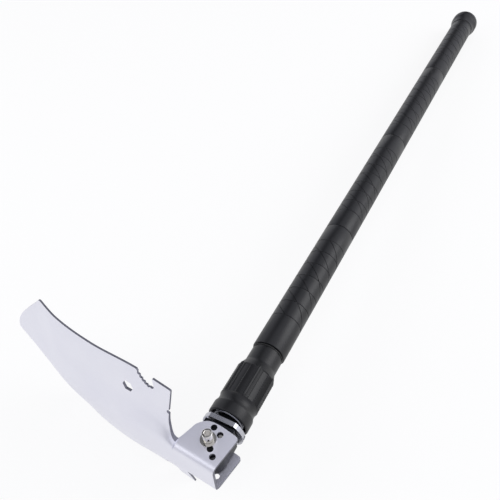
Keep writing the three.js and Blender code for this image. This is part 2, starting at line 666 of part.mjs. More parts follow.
function makeCap() {
  const start = HANDLE_END + GAP;
  const end = HANDLE_END + CAP_LENGTH;
  const inner = PLUG_RADIUS - COUPLER_WALL;
  return revolved([
    [inner, HANDLE_END - CAP_PLUG],
    ...plugCorners(HANDLE_END - CAP_PLUG, HANDLE_END),
    [PLUG_RADIUS, start],
    [TUBE_RADIUS - 0.3, start],
    [TUBE_RADIUS + 0.6, start + 1],
    [TUBE_RADIUS + 1.2, start + 7],
    [CAP_RADIUS - 0.5, start + 12],
    [CAP_RADIUS, start + 15],
    [CAP_RADIUS, end - 6],
    [CAP_RADIUS - 0.6, end - 4],
    [CAP_RADIUS - 2.2, end - 2.6],
    [CAP_RADIUS - 4, end - 2.6],
    [CAP_RADIUS - 4.4, end - 1.4],
    [CAP_RADIUS - 9, end - 0.9],
    [CAP_RADIUS - 9.3, end],
    [0, end],
    [0, end - 8],
    [inner, end - 8],
  ]);
}

// ---- Assembly ----
function makePivot() {
  const washerRing = [SLEEVE_RADIUS + GAP, FRICTION_WASHER_RADIUS];
  const washerSpan = [HEAD_HALF_THICKNESS + GAP, EAR_INNER - GAP];
  add("blade", makeBlade(), steelPlate());
  add("pivot_bolt", makeBolt(), polishedSteel());
  add("bolt_washer", pivotWasher(1), polishedSteel());
  add("nut_washer", pivotWasher(-1), polishedSteel());
  add("lock_nut", makeNut(), polishedSteel());
  add("pivot_sleeve", ringZ(BOLT_RADIUS + GAP, SLEEVE_RADIUS, -SLEEVE_HALF, SLEEVE_HALF, SMALL_SEGMENTS), bronze());
  add("friction_washer_near", ringZ(...washerRing, ...washerSpan, SMALL_SEGMENTS).rotateX(Math.PI), nylon());
  add("friction_washer_far", ringZ(...washerRing, ...washerSpan, SMALL_SEGMENTS), nylon());
}

function makeHingeHead() {
  const [x, y] = holePlace(INDEX_HOLES[DETENT_HOLE]);
  const top = EAR_INNER - GAP;
  const low = top - DETENT_LENGTH;
  const deep = HEAD_HALF_THICKNESS - DETENT_BORE_DEPTH + GAP;
  const spring = coil(DETENT_RADIUS - DETENT_WIRE, DETENT_WIRE, 0, low - GAP - deep, 4, 9);
  spring.rotateX(Math.PI / 2);
  const pin = solid(rodAlongZ(DETENT_RADIUS, low, top - 0.6)).add(
    solid(movedBy(new THREE.CylinderGeometry(DETENT_RADIUS - 0.7, DETENT_RADIUS, 0.7, SMALL_SEGMENTS), 0, 0, 0)
      .rotateX(Math.PI / 2).translate(0, 0, top - 0.35)),
  );
  add("hinge_head", makeHead(), hingeSteel());
  ROLL_PIN_PLACES.forEach((place, i) => {
    const pinEnd = STUB_RADIUS - GAP;
    const rod = rodAlongX(ROLL_PIN_RADIUS, -pinEnd, pinEnd, 12);
    add(`roll_pin_${i + 1}`, movedBy(rod, 0, place, 0), springSteel());
  });
  add("detent_pin", movedBy(geometryOf(pin), x, y, 0), polishedSteel());
  add("detent_spring", movedBy(spring, x, y, deep), springSteel());
}

function makeLock() {
  const middle = DISC_NEAR + DISC_THICKNESS / 2;
  const pinHalf = Math.sqrt(DISC_RADIUS ** 2 - THRUST_PIN_RADIUS ** 2) - GAP;
  const springLow = DISC_FAR + COLLAR_TRAVEL + GAP;
  const springHigh = THRUST_WASHER_NEAR - GAP;
  const spring = coil(LOCK_SPRING_RADIUS, LOCK_SPRING_WIRE, springLow, springHigh, LOCK_SPRING_TURNS, 18);
  const washer = ring(SHANK_RADIUS + GAP, COLLAR_MOUTH_BORE - GAP, THRUST_WASHER_NEAR, THRUST_WASHER_FAR);
  add("thrust_disc", makeDisc(), hingeSteel());
  add("thrust_pin", movedBy(rodAlongX(THRUST_PIN_RADIUS, -pinHalf, pinHalf, 12), 0, middle, 0), springSteel());
  add("brake_shoe", makeShoe(), bronze());
  add("lock_spring", spring, springSteel());
  add("thrust_washer", washer, hingeSteel());
  add("lock_collar", makeCollar(), blackAnodised());
  add("stop_ring", ring(STUB_RADIUS + GAP, STOP_RING_RADIUS, COLLAR_END + GAP, HANDLE_START - GAP), nylon());
}

function makeHandle() {
  add("tube_1", drilledFirstTube(), blackAnodised());
  const joints = [JOINT_2, JOINT_3, JOINT_4, HANDLE_END];
  for (let k = 0; k < 3; k += 1) {
    const number = k + 2;
    add(`seal_${number}`, makeSeal(joints[k]), blackRubber());
    add(`coupler_${number}`, makeCoupler(joints[k]), blackAnodised());
    add(`tube_${number}`, screwedTube(joints[k], joints[k + 1]), blackAnodised());
  }
  add("cap_seal", makeSeal(HANDLE_END), blackRubber());
  add("end_cap", makeCap(), blackAnodised());
}

// Lay the tool on the ground on the lower wing's straight edge and the rim of the end cap, with the
// origin under the middle of its bounding box.
function laidOnGround(group) {
  const rim = new THREE.Vector3(0, HANDLE_END + CAP_LENGTH / 2, -CAP_RADIUS);
  const [nearX, nearY] = holePlace([WING_START, sectionAt(WING_START).edgeH]);
  const [farX, farY] = holePlace([NOTCH_START, sectionAt(NOTCH_START).edgeH]);
  const near = new THREE.Vector3(nearX, nearY, -BLADE_HALF_WIDTH);
  const far = new THREE.Vector3(farX, farY, -BLADE_HALF_WIDTH);
  const up = far.clone().sub(near).cross(rim.clone().sub(near)).normalize();
  if (up.z < 0) up.negate();
  group.quaternion.setFromUnitVectors(up, new THREE.Vector3(0, 0, 1));
  const laid = new THREE.Group();
  laid.add(group);
  laid.updateMatrixWorld(true);
  const box = new THREE.Box3().setFromObject(laid, true);
  const middle = box.getCenter(new THREE.Vector3());
  group.position.set(-middle.x, -middle.y, -box.min.z);
  return laid;
}

makePivot();
makeHingeHead();
makeLock();
makeHandle();
export default laidOnGround(tool);
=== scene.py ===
"""Looks of a folding camp shovel: a stamped steel blade on a folding bracket, a knurled lock collar,
and a handle of four anodised aluminium tubes that screw together. All lengths are in metres."""

import json
import math

import bmesh
import bpy
from bpy.props import FloatProperty, FloatVectorProperty, IntProperty, PointerProperty
from mathutils import Matrix, Vector


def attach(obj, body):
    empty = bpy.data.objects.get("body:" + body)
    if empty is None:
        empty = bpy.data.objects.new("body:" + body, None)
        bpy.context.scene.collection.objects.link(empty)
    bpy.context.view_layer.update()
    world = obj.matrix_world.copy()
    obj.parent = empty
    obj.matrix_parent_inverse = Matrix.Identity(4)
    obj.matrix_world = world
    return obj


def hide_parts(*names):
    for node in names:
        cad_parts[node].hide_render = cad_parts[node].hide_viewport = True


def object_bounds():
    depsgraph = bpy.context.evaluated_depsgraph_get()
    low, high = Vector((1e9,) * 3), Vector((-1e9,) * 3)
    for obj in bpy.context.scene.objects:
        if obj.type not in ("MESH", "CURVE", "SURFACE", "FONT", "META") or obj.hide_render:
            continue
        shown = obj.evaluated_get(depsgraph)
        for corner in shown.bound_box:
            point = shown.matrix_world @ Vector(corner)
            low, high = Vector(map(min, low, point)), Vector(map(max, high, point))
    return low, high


bl_info = {
    "name": "Camp Shovel",
    "version": (1, 0, 0),
    "blender": (4, 5, 0),
    "location": "View3D > Sidebar > Shovel",
    "description": "Builds the blade, pivot, lock collar and screw-together handle of a camp shovel",
    "category": "Add Mesh",
}

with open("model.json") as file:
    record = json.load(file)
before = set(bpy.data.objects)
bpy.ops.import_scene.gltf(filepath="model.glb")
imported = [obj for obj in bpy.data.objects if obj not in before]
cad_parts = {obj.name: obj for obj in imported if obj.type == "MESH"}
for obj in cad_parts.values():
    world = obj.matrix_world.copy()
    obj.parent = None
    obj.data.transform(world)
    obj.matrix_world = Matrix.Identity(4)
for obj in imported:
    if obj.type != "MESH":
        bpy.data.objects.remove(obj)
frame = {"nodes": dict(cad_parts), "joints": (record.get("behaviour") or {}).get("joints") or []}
CAD_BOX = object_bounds()

MM = 0.001
TURN = 2 * math.pi
JOINTS = {joint["name"]: joint for joint in frame["joints"]}

# The tool's own axes, from the joints: the pivot bolt is Z, the handle is Y, the pivot centre the origin.
PIVOT = Vector(JOINTS["blade_fold"]["pos_m"])
BOLT_AXIS = Vector(JOINTS["blade_fold"]["axis"])
HANDLE_AXIS = Vector(JOINTS["tube_2_turn"]["axis"])
SIDE_AXIS = HANDLE_AXIS.cross(BOLT_AXIS)
TOOL = Matrix((SIDE_AXIS, HANDLE_AXIS, BOLT_AXIS)).transposed().to_4x4()
TOOL.translation = PIVOT


# ---- Measures of the CAD nodes, in the tool's axes ----
def span(node):
    """Lowest and highest corner of a CAD node in the tool's axes."""
    inverse = TOOL.inverted()
    points = [inverse @ vertex.co for vertex in frame["nodes"][node].data.vertices]
    low = Vector([min(p[i] for p in points) for i in range(3)])
    high = Vector([max(p[i] for p in points) for i in range(3)])
    return low, high


TUBE_RADIUS = span("tube_2")[1].x
TUBE_STARTS = {1: span("stop_ring")[1].y + 0.3 * MM}
TUBE_STARTS.update({k: span(f"tube_{k}")[0].y for k in (2, 3, 4)})
TUBE_ENDS = {k: span(f"tube_{k}")[1].y for k in (1, 2, 3, 4)}
COLLAR_MOUTH = span("lock_collar")[0].y
COLLAR_END = span("lock_collar")[1].y
CAP_START = TUBE_ENDS[4] + 0.3 * MM
CAP_END = span("end_cap")[1].y
CAP_RADIUS = span("end_cap")[1].x


# ---- Mesh helpers ----
def new_object(name, mesh):
    made = bpy.data.objects.new(name, mesh)
    bpy.context.scene.collection.objects.link(made)
    return made


def finished(name, points, faces, matrix=TOOL, crease=30):
    """A closed mesh with outward faces, smooth except along edges sharper than crease degrees."""
    mesh = bpy.data.meshes.new(name)
    mesh.from_pydata([tuple(matrix @ Vector(p)) for p in points], [], faces)
    shell = bmesh.new()
    shell.from_mesh(mesh)
    bmesh.ops.recalc_face_normals(shell, faces=shell.faces)
    shell.to_mesh(mesh)
    shell.free()
    mesh.shade_smooth()
    mesh.set_sharp_from_angle(angle=math.radians(crease))
    return new_object(name, mesh)


def skin(loops, closed=False, shift=0):
    """Points and faces through loops of equal length. A closed skin joins its last loop to the first,
    turned by shift columns, and an open one gets a flat cap at each end."""
    count = len(loops[0])
    points = [point for loop in loops for point in loop]
    faces = []
    for k in range(len(loops) - (0 if closed else 1)):
        last = closed and k == len(loops) - 1
        above = 0 if last else (k + 1) * count
        turned_by = shift if last else 0
        for i in range(count):
            j = (i + 1) % count
            left, right = (i + turned_by) % count, (j + turned_by) % count
            faces.append((k * count + i, k * count + j, above + right, above + left))
    if not closed:
        faces.append(tuple(reversed(range(count))))
        faces.append(tuple(range((len(loops) - 1) * count, len(loops) * count)))
    return points, faces


def turned(name, rows, columns, closed=False, along_bolt=False, crease=30):
    """A body turned about the handle's axis, or about the bolt's. Each row is (radius, place), and a
    radius may be a function of the angle, for flats."""
    loops = []
    for radius, place in rows:
        loop = []
        for i in range(columns):
            angle = TURN * i / columns
            r = radius(angle) if callable(radius) else radius
            across, over = r * math.cos(angle), r * math.sin(angle)
            loop.append((across, over, place) if along_bolt else (across, place, over))
        loops.append(loop)
    return finished(name, *skin(loops, closed), crease=crease)


def hexagon(flats):
    """Radius of a hexagon with that distance across its flats, as a function of the angle."""
    sixth = TURN / 6
    return lambda angle: flats / 2 / math.cos((angle + sixth / 2) % sixth - sixth / 2)


def combined(name, body, steps, matrix, crease):
    """body after each (operation, tool) in turn. The working objects are removed."""
    for operation, tool in steps:
        change = body.modifiers.new(operation.lower(), "BOOLEAN")
        change.operation = operation
        change.solver = "MANIFOLD"
        change.object = tool
    graph = bpy.context.evaluated_depsgraph_get()
    mesh = bpy.data.meshes.new_from_object(body.evaluated_get(graph))
    if not mesh.polygons:
        raise RuntimeError(f"{name} came out empty")
    for used in [body, *[tool for _, tool in steps]]:
        bpy.data.objects.remove(used)
    mesh.transform(matrix)
    mesh.name = name
    mesh.shade_smooth()
    mesh.set_sharp_from_angle(angle=math.radians(crease))
    return new_object(name, mesh)


def dress(piece, body, slot, replaces, *materials):
    piece.data.materials.clear()
    for material in materials:
        piece.data.materials.append(material)
    if replaces:
        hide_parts(*replaces)
    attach(piece, body)
    return piece


# ---- Materials ----
def linear(hex_colour):
    """An sRGB hex colour as the linear RGBA that the shaders take."""
    parts = [int(hex_colour[i : i + 2], 16) / 255 for i in (0, 2, 4)]
    return (*[c / 12.92 if c <= 0.04045 else ((c + 0.055) / 1.055) ** 2.4 for c in parts], 1)


def node(tree, kind, inputs=None, **settings):
    """Adds a node with its settings. Each input is a value, or an output socket to link from."""
    made = tree.nodes.new(kind)
    for key, value in settings.items():
        setattr(made, key, value)
    for key, value in (inputs or {}).items():
        if isinstance(value, bpy.types.NodeSocket):
            tree.links.new(value, made.inputs[key])
        else:
            made.inputs[key].default_value = value
    return made


def surface(name, light, dark, roughness, patch, grain, relief, **fixed):
    """A material whose colour and roughness drift over patches of that size, with a fine grain in relief.
    light and dark are hex colours, roughness is (low, high), patch and grain are sizes in metres."""
    material = bpy.data.materials.new(name)
    material.use_nodes = True
    tree = material.node_tree
    tree.nodes.clear()
    place = node(tree, "ShaderNodeTexCoord").outputs["Object"]
    drift = node(tree, "ShaderNodeTexNoise", {"Vector": place, "Scale": 1 / patch, "Detail": 3.0})
    fine = node(
        tree,
        "ShaderNodeTexNoise",
        {"Vector": place, "Scale": 1 / grain, "Detail": 2.0},
    )
    colour = node(
        tree,
        "ShaderNodeMix",
        {"Factor": drift.outputs["Fac"]},
        data_type="RGBA",
    )
    colour.inputs[6].default_value = linear(dark)
    colour.inputs[7].default_value = linear(light)
    rough = node(
        tree,
        "ShaderNodeMapRange",
        {
            "Value": fine.outputs["Fac"],
            "From Min": 0.3,
            "From Max": 0.7,
            "To Min": roughness[0],
            "To Max": roughness[1],
        },
    )
    bump = node(
        tree,
        "ShaderNodeBump",
        {"Height": fine.outputs["Fac"], "Strength": relief, "Distance": 0.05 * MM},
    )
    shader = node(
        tree,
        "ShaderNodeBsdfPrincipled",
        {
            "Base Color": colour.outputs[2],
            "Roughness": rough.outputs["Result"],
            "Normal": bump.outputs["Normal"],
            **fixed,
        },
    )
    node(tree, "ShaderNodeOutputMaterial", {"Surface": shader.outputs["BSDF"]})
    return material


# Stainless sheet, stamped and bead blasted: an even, pale satin with a cool cast and no mirror.
SATIN_STAINLESS = surface(
    "satin_stainless_sheet", "ececf3", "e2e2ec", (0.44, 0.52), 35 * MM, 0.8 * MM, 0.12, Metallic=1.0
)
# The same sheet on its cut faces: a darker grey, painted shade for the thin dark line along the edges.
STAINLESS_EDGE_PAINTED_SHADE = surface(
    "stainless_edge_painted_shade", "8f8f99", "6d6d77", (0.45, 0.6), 6 * MM, 0.5 * MM, 0.5, Metallic=1.0
)
# Stainless bar, turned and polished: bright with a hard glint.
POLISHED_STAINLESS = surface(
    "polished_stainless_bar", "dedcd8", "c9c6c0", (0.08, 0.14), 5 * MM, 0.4 * MM, 0.05, Metallic=1.0
)
# Alloy steel, milled and zinc plated: a bright grey with fine tool marks.
MILLED_STEEL = surface(
    "milled_plated_steel", "c6c7cd", "a9aab2", (0.25, 0.36), 8 * MM, 0.6 * MM, 0.2, Metallic=1.0
)
# Alloy steel, machined: a dark, dull grey, painted shade that keeps the inside of the bracket dark.
DARK_STEEL_PAINTED_SHADE = surface(
    "dark_machined_steel_painted_shade", "34353a", "26272b", (0.4, 0.5), 6 * MM, 0.5 * MM, 0.2, Metallic=1.0
)
# Spring steel, drawn and tempered: a darker grey.
SPRING_STEEL = surface(
    "tempered_spring_steel", "8e8f95", "6f7077", (0.28, 0.4), 5 * MM, 0.4 * MM, 0.1, Metallic=1.0
)
# Bearing bronze, turned: a warm brown metal.
BEARING_BRONZE = surface(
    "turned_bearing_bronze", "b08650", "94703e", (0.3, 0.42), 5 * MM, 0.4 * MM, 0.1, Metallic=1.0
)
# Aluminium, turned, blasted and black anodised: a matte charcoal that goes pale only at a low angle.
ANODISED_COLLAR = surface(
    "black_anodised_turned_aluminium", "0c0d10", "060709", (0.36, 0.44), 20 * MM, 0.5 * MM, 0.12, IOR=1.45
)
ANODISED_TUBE = surface(
    "black_anodised_drawn_aluminium", "0d0e12", "08090c", (0.36, 0.44), 30 * MM, 0.6 * MM, 0.1, IOR=1.47
)
# Nylon, moulded: dull and dark.
MOULDED_NYLON = surface(
    "moulded_black_nylon", "262626", "1c1c1c", (0.5, 0.65), 8 * MM, 0.5 * MM, 0.2, IOR=1.53
)
# Nitrile rubber, moulded: dull black with a soft grain.
MOULDED_RUBBER = surface(
    "moulded_nitrile_rubber", "1a1a1a", "101010", (0.65, 0.8), 8 * MM, 0.5 * MM, 0.3, IOR=1.52
)

CARRIED = {
    # The hinge head's dark grey is painted shade for the inside of the bracket.
    "hinge_head": DARK_STEEL_PAINTED_SHADE,
    "roll_pin_1": SPRING_STEEL,
    "roll_pin_2": SPRING_STEEL,
    "friction_washer_near": MOULDED_NYLON,
    "friction_washer_far": MOULDED_NYLON,
    "thrust_disc": MILLED_STEEL,
    "thrust_pin": SPRING_STEEL,
    "brake_shoe": BEARING_BRONZE,
    "detent_pin": POLISHED_STAINLESS,
    "detent_spring": SPRING_STEEL,
    "pivot_sleeve": BEARING_BRONZE,
    "thrust_washer": MILLED_STEEL,
    "lock_spring": SPRING_STEEL,
    "stop_ring": MOULDED_NYLON,
    "seal_2": MOULDED_RUBBER,
    "seal_3": MOULDED_RUBBER,
    "seal_4": MOULDED_RUBBER,
    "cap_seal": MOULDED_RUBBER,
    "coupler_2": ANODISED_TUBE,
    "coupler_3": ANODISED_TUBE,
    "coupler_4": ANODISED_TUBE,
}


# ---- Settings ----
def length(name, description, default):
    return FloatProperty(name=name, description=description, default=default, min=0, unit="LENGTH")


class BladeSettings(bpy.types.PropertyGroup):
    angle: FloatProperty(
        name="Angle",
        description="Between the handle and the bracket's floor",
        default=math.radians(80.6),
        subtype="ANGLE",
    )
    plate: length("Plate", "Thickness of the sheet", 2.3 * MM)
    edge_plate: length("Edge plate", "Thickness at the ground edges of the wings", 1.5 * MM)
    bracket_depth: length("Bracket depth", "From the pivot to the outer face of the floor", 20 * MM)
    bracket_bend: length("Bracket bend", "Outer radius of the bends below the ears", 5.6 * MM)
    index_hole: length("Index hole", "Radius of the holes that the detent stands in", 2.7 * MM)
    hex_hole: length("Hex hole", "Across the flats of the wrench hole in each wing", 9.5 * MM)


class PivotSettings(bpy.types.PropertyGroup):
    bolt: length("Bolt", "Radius of the pivot bolt", 3 * MM)
    head: length("Head", "Radius of the bolt's head", 4.3 * MM)
    head_height: length("Head height", "Height of the bolt's head", 9 * MM)
    socket: length("Socket", "Across the flats of the socket", 5 * MM)
    socket_depth: length("Socket depth", "Depth of the socket", 4.5 * MM)


class CollarSettings(bpy.types.PropertyGroup):
    grip: length("Grip", "Radius of the knurled grip", 18.3 * MM)
    rib: length("Rib", "Radius to the top of a rib", 19 * MM)
    rib_width: length("Rib width", "Width of a rib", 3.2 * MM)
    ribs: IntProperty(name="Ribs", description="Number of ribs", default=6, min=3)
    rib_turn: FloatProperty(
        name="Rib turn", description="Place of the first rib", default=math.radians(17), subtype="ANGLE"
    )
    knurl: length("Knurl", "Depth of the knurling", 0.65 * MM)
    channel: length("Channel", "Width of the plain channel on each side of a rib", 1.5 * MM)
    channel_depth: length("Channel depth", "Depth of that channel", 0.9 * MM)


class TubeSettings(bpy.types.PropertyGroup):
    wall: length("Wall", "Thickness of a tube's wall", 2.2 * MM)
    ring_pitch: length("Ring pitch", "Between the turned rings of the grip", 17.9 * MM)
    helix_lead: length("Helix lead", "Length in which a spiral groove goes round once", 80 * MM)
    starts: IntProperty(name="Starts", description="Number of spiral grooves", default=4, min=1)
    groove: length("Groove", "Width of a groove", 1.1 * MM)
    groove_depth: length("Groove depth", "Depth of a groove", 0.45 * MM)


class StageSettings(bpy.types.PropertyGroup):
    azimuth: FloatProperty(
        name="Azimuth",
        description="Camera's turn round the shovel",
        default=math.radians(33.77),
        subtype="ANGLE",
    )
    elevation: FloatProperty(
        name="Elevation", description="Camera above the horizon", default=math.radians(48.33), subtype="ANGLE"
    )
    roll: FloatProperty(
        name="Roll", description="Camera's roll", default=math.radians(-8.38), subtype="ANGLE"
    )
    distance: length("Distance", "From the camera to the point it aims at", 0.74837)
    aim: FloatVectorProperty(
        name="Aim",
        description="Point the camera aims at, from the middle of the shovel's box",
        default=(-0.00925, -0.13119, -0.09243),
        subtype="XYZ",
        unit="LENGTH",
    )
    lens: FloatProperty(name="Lens", description="Focal length", default=43.2, subtype="DISTANCE_CAMERA")


# ---- Blade ----
# Half cross-sections from the bracket to the tip, millimetres: place along the blade, lower corner of
# the channel (across, up), crease (across, up), height of the wing at full width, length of the bend.
SECTION_PLACES = (20, 32, 60, 105, 148, 188, 218, 240)
SECTIONS = (
    (18, -21.6, 19.2, -14, -6.4, 5.6),
    (16.5, -22.7, 33, -13.8, -6.6, 6),
    (15, -25.2, 40, -15.2, -7.4, 9),
    (12, -26.6, 37, -18.4, -11.6, 9),
    (8, -24.8, 27, -20.4, -10.8, 7),
    (4, -17.8, 13, -16, -3.6, 3.5),
    (2, -12.2, 8, -11.4, -1.4, 1.8),
    (1.5, -8.6, 6, -8, 1.6, 1.2),
)
HALF_WIDTH = 77
BRACKET_HALF_WIDTH = 18
BRACKET_END = 19
BRACKET_FRONT = 20.6
EAR_TOP = 15
FLOOR_TILT = math.radians(4.5)
CREASE_BEND = 5
STATIONS = 110
BEND_STEPS = 9
NOTCH = ((43.1, 65.6), (51.5, 66.6), (57.5, 77))
INDEX_HOLES = ((3.2, 10.9), (-4.9, 8.7), (-5.9, -5), (-11.5, -9))
HEX_PLACE = (67.4, 51.9)


def natural_cubic(places, rows, at):
    """Rows interpolated at one place by a cubic through its neighbours, with straight ends."""
    k = next((i for i in range(1, len(places) - 1) if at < places[i]), len(places) - 1)
    t0, t1 = places[k - 1], places[k]
    before, t_before = (k - 2, places[k - 2]) if k > 1 else (k, t1)
    after, t_after = (k + 1, places[k + 1]) if k + 1 < len(places) else (k - 1, t0)
    w_before = (t1 - t0) * 0.5 / (t0 - t_before)
    w_after = (t1 - t0) * 0.5 / (t_after - t1)
    p = (at - t0) / (t1 - t0)
    weights = (
        (before, -w_before * p**3 + 2 * w_before * p**2 - w_before * p),
        (k - 1, (1 + w_before) * p**3 + (-1.5 - 2 * w_before) * p**2 + (-0.5 + w_before) * p + 1),
        (k, (-1 - w_after) * p**3 + (1.5 + w_after) * p**2 + 0.5 * p),
        (after, w_after * p**3 - w_after * p**2),
    )
    return [sum(w * rows[row][i] for row, w in weights) for i in range(len(rows[0]))]


def bezier(controls, steps):
    """Points of a Bezier curve with any number of controls."""
    made = []
    for i in range(steps + 1):
        t = i / steps
        line = [Vector(c) for c in controls]
        while len(line) > 1:
            line = [a.lerp(b, t) for a, b in zip(line, line[1:])]
        made.append(line[0])
    return made


def half_section(s):
    """Outer face of the blade at s, from the middle out, as (across, up)."""
    floor_z, floor_h, crease_z, crease_h, edge_h, bend = natural_cubic(SECTION_PLACES, SECTIONS, s)
    reach = HALF_WIDTH + 5
    slope = (edge_h - crease_h) / (HALF_WIDTH - crease_z)
    middle, corner, crease = Vector((0, floor_h)), Vector((floor_z, floor_h)), Vector((crease_z, crease_h))
    edge = Vector((reach, crease_h + slope * (reach - crease_z)))
    flank = (crease - corner).length

    def rounded(before, at, after, size):
        back = at + (before - at).normalized() * size
        onward = at + (after - at).normalized() * size
        return bezier((back, at, onward), BEND_STEPS)

    return [
        middle,
        *rounded(middle, corner, crease, min(bend, flank * 0.5)),
        *rounded(corner, crease, edge, min(CREASE_BEND, flank * 0.45)),
        edge,
    ]


def sheet_loop(s, plate, edge_plate):
    """Closed section of the sheet at s, thinner towards the edges of the wings."""
    half = half_section(s)
    outer = [Vector((-p.x, p.y)) for p in reversed(half[1:])] + half
    inner = []
    for i, point in enumerate(outer):
        along = (outer[min(i + 1, len(outer) - 1)] - outer[max(i - 1, 0)]).normalized()
        share = min(max((abs(point.x) - HALF_WIDTH / 2) / (HALF_WIDTH / 2), 0), 1)
        share = share * share * (3 - 2 * share)
        thick = plate + (edge_plate - plate) * share
        inner.append(Vector((point.x - along.y * thick, point.y + along.x * thick)))
    return [(s, p.y, p.x) for p in outer + inner[::-1]]


def wing_outline():
    """Outline of one wing seen from above, as (along, across), from the bracket to the tip."""
    arc = [(26.5 + 2 * math.sin(a), 49 - 2 * math.cos(a)) for a in [math.pi * i / 10 for i in range(11)]]
    return [
        *bezier(((BRACKET_FRONT - 1, BRACKET_HALF_WIDTH + 0.6), (29.5, 24), (26.5, 47)), 16),
        *arc[1:],
        (23, HALF_WIDTH - 1.2),
        *bezier(((23, HALF_WIDTH - 1.2), (23, HALF_WIDTH), (24.2, HALF_WIDTH)), 4)[1:],
        *bezier(((40.6, HALF_WIDTH), (41.6, HALF_WIDTH), (41.4, HALF_WIDTH - 1.1)), 4),
        (40, 68.6),
        *bezier(((40, 68.6), (40.2, 65.6), NOTCH[0]), 6)[1:],
        *bezier(NOTCH, 12)[1:],
        (172, HALF_WIDTH),
        *bezier(((172, HALF_WIDTH), (175, HALF_WIDTH), (178, 74)), 6)[1:],
        *bezier(((178, 74), (196, 54), (233, 22), (236, 0)), 40)[1:],
    ]


def prism(name, outline, low, high, upright, cut_index=1):
    """A prism of an outline. Upright stands along the blade's height, otherwise along the bolt."""
    place = (lambda a, b, c: (a, c, b)) if upright else (lambda a, b, c: (a, b, c))
    loops = [[place(p[0], p[1], depth) for p in outline] for depth in (low, high)]
    made = finished(name, *skin(loops), matrix=Matrix.Identity(4))
    made.data.materials.append(SATIN_STAINLESS)
    made.data.materials.append(STAINLESS_EDGE_PAINTED_SHADE)
    # The cut faces get the darker edge colour, painted shade for the dark line along the edges.
    for face in made.data.polygons:
        face.material_index = cut_index
    return made


def circle(x, y, radius, columns, turn=0.0):
    return [
        (x + radius * math.cos(TURN * i / columns + turn), y + radius * math.sin(TURN * i / columns + turn))
        for i in range(columns)
    ]


def bracket_section(depth, bend, plate):
    """Section of the bent U, as (across, up), outer face then inner face."""
    w = BRACKET_HALF_WIDTH
    quarter = [math.pi / 2 * i / 8 for i in range(9)]
    top = EAR_TOP + 10

    def face(offset):
        radius = bend - offset
        right = [(w - bend + radius * math.cos(a), -depth + bend - radius * math.sin(a)) for a in quarter]
        return [(w - offset, top), *right, *[(-x, y) for x, y in reversed(right)], (-w + offset, top)]

    return face(0) + face(plate)[::-1]


def ear_outline(depth):
    """Outline of the ears, as (along, up)."""
    corner = [(-16 - 3 * math.cos(a), 12 + 3 * math.sin(a)) for a in [math.pi / 2 * i / 8 for i in range(9)]]
    return [
        (-BRACKET_END, -depth - 5),
        *corner,
        (-5, EAR_TOP + 0.2),
        *bezier(((-5, 15.2), (4, 15.2), (9.4, 13.3)), 6)[1:],
        *bezier(((9.4, 13.3), (14.6, 11), (17.6, 4.2)), 8)[1:],
        *bezier(((17.6, 4.2), (18.6, -3), (19.8, -9.5)), 4)[1:],
        (BRACKET_FRONT, -12.2),
        (BRACKET_FRONT, -depth - 5),
    ]


class SHOVEL_OT_blade(bpy.types.Operator):
    """Builds the stamped blade with its folding bracket as one sheet"""

    bl_idname = "shovel.blade"
    bl_label = "Blade"

    def execute(self, context):
        chosen = context.scene.shovel_blade
        plate, edge_plate = chosen.plate / MM, chosen.edge_plate / MM
        depth, bend = chosen.bracket_depth / MM, chosen.bracket_bend / MM
        first, last = SECTION_PLACES[0], SECTION_PLACES[-1]
        loops = [
            sheet_loop(first + (last - first) * k / STATIONS, plate, edge_plate) for k in range(STATIONS + 1)
        ]
        sheet = finished("blade_sheet", *skin(loops), matrix=Matrix.Identity(4))
        sheet.data.materials.append(SATIN_STAINLESS)
        sheet.data.materials.append(STAINLESS_EDGE_PAINTED_SHADE)
        wing = wing_outline()
        outline = wing + [(s, -z) for s, z in [tuple(p) for p in wing[:-1]][::-1]]
        reach = 2 * (BRACKET_END + BRACKET_FRONT)
        section = bracket_section(depth, bend, plate)
        ends = [[(s, h, z) for z, h in section] for s in (-reach / 2, reach / 2)]
        channel = finished("bracket", *skin(ends), matrix=Matrix.Rotation(-FLOOR_TILT, 4, "Z"))
        channel.data.materials.append(SATIN_STAINLESS)
        channel.data.materials.append(STAINLESS_EDGE_PAINTED_SHADE)
        across = BRACKET_HALF_WIDTH + 5
        ears = prism("ears", ear_outline(depth), -across, across, upright=False)
        steps = [
            ("INTERSECT", prism("outline", outline, -60, 60, upright=True)),
            ("UNION", combined("bracket", channel, [("INTERSECT", ears)], Matrix.Identity(4), 30)),
        ]
        for s, h in INDEX_HOLES:
            hole = circle(s, h, chosen.index_hole / MM, 32)
            steps.append(("DIFFERENCE", prism("index_hole", hole, -across, across, upright=False)))
        bolt_hole = circle(0, 0, context.scene.shovel_pivot.bolt / MM + 0.3, 32)
        steps.append(("DIFFERENCE", prism("bolt_hole", bolt_hole, -across, across, upright=False)))
        teeth = bezier(NOTCH, 60)
        for side in (1, -1):
            hexagon_hole = circle(HEX_PLACE[0], side * HEX_PLACE[1], chosen.hex_hole / MM / math.sqrt(3), 6)
            steps.append(("DIFFERENCE", prism("hex_hole", hexagon_hole, -60, 60, upright=True)))
            for tooth in teeth[10:51:10]:
                scallop = circle(tooth.x, side * tooth.y, 1.3, 16)
                steps.append(("DIFFERENCE", prism("scallop", scallop, -60, 60, upright=True)))
        along = Vector((-math.sin(chosen.angle), math.cos(chosen.angle), 0)) * MM
        up = Vector((math.cos(chosen.angle), math.sin(chosen.angle), 0)) * MM
        to_tool = Matrix((along, up, Vector((0, 0, MM)))).transposed().to_4x4()
        blade = combined("stamped_blade", sheet, steps, TOOL @ to_tool, 28)
        if (TOOL @ to_tool).determinant() < 0:
            blade.data.flip_normals()
        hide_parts("blade")
        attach(blade, "blade")
        return {"FINISHED"}


# ---- Pivot ----
def rounded_rim(radius, place, size, upwards, steps=4):
    """Rows that round off a turned edge at that radius and place."""
    angles = [math.pi / 2 * i / steps for i in range(steps + 1)]
    sign = 1 if upwards else -1
    return [(radius - size + size * math.cos(a), place - sign * (size - size * math.sin(a))) for a in angles]


